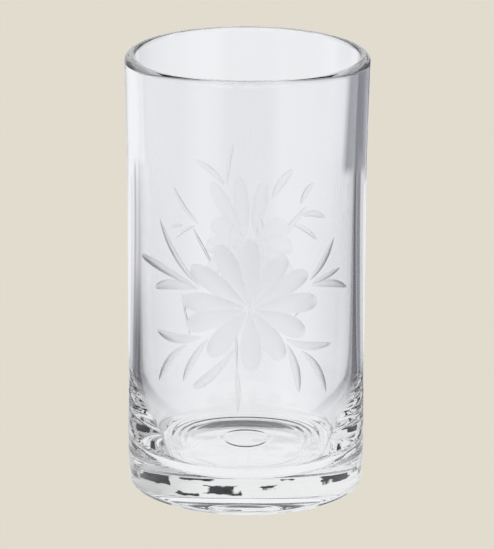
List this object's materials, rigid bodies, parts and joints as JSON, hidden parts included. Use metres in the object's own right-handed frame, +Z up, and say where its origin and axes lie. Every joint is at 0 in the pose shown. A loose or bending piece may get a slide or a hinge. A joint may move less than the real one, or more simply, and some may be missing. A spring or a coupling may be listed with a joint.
{
  "type": "shot glass",
  "caption": "Tall straight-sided shot glass of clear glass with a rounded lip, a heavy base, and a wheel-cut frosted flower with leaf sprays on the front and on the back.",
  "frame": {"origin": "on the axis of the glass, level with the ring that it stands on", "axes": "+Z up along the axis towards the mouth, -Y towards the front engraving, +Y towards the back engraving"},
  "size_m": [0.041, 0.041, 0.075],
  "materials": {
    "clear_glass": "clear, colourless, fire-polished",
    "ground_glass": "wheel-cut and left frosted"
  },
  "bodies": {
    "root": {"glass_body": "clear_glass", "front_engraving": "ground_glass", "back_engraving": "ground_glass"}
  },
  "joints": []
}
